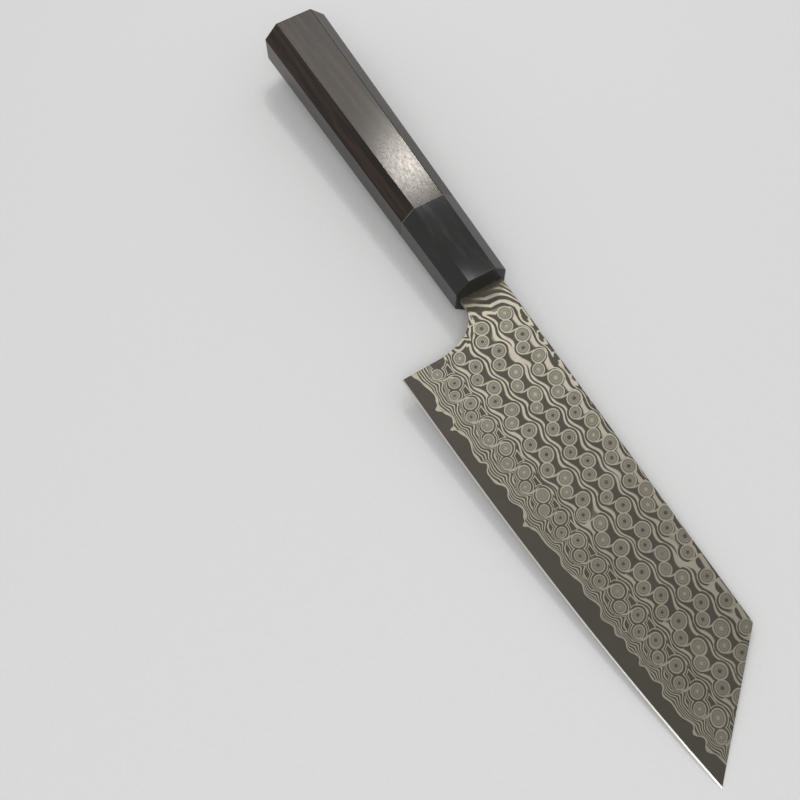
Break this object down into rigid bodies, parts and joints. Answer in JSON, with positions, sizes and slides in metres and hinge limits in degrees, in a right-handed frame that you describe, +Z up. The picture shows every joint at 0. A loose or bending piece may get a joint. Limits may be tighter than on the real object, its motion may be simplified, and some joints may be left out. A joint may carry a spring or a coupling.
{
  "type": "nakiri knife",
  "caption": "Kitchen knife for vegetables, with a tall straight layered-steel blade, a clipped tip and an eight-sided wooden handle with a horn ferrule.",
  "frame": {"origin": "middle of the footprint, on the table that the knife lies on", "axes": "+X toward the tip, +Y from the cutting edge to the spine, +Z up off the table with the blade's right side up; the handle's axis dips 3.01 degrees toward the tip, because the knife rests on the ferrule's front edge and the tip"},
  "size_m": [0.3258, 0.0572, 0.0281],
  "materials": {
    "core_steel": "etched matt grey, with a bright ground bevel",
    "layered_cladding": "etched layers in silver and grey, a raindrop pattern",
    "black_horn": "polished black buffalo horn",
    "glue": "thin pale glue line",
    "dark_wood": "oiled satin ebony",
    "plain_wood": "bare turned wood",
    "resin": "dark casting resin"
  },
  "bodies": {
    "root": {"core_steel": "core_steel", "right_cladding": "layered_cladding", "left_cladding": "layered_cladding", "horn_ferrule": "black_horn", "joint_glue": "glue", "wooden_grip": "dark_wood", "tang_dowel": "plain_wood", "tang_resin": "resin"}
  },
  "joints": []
}
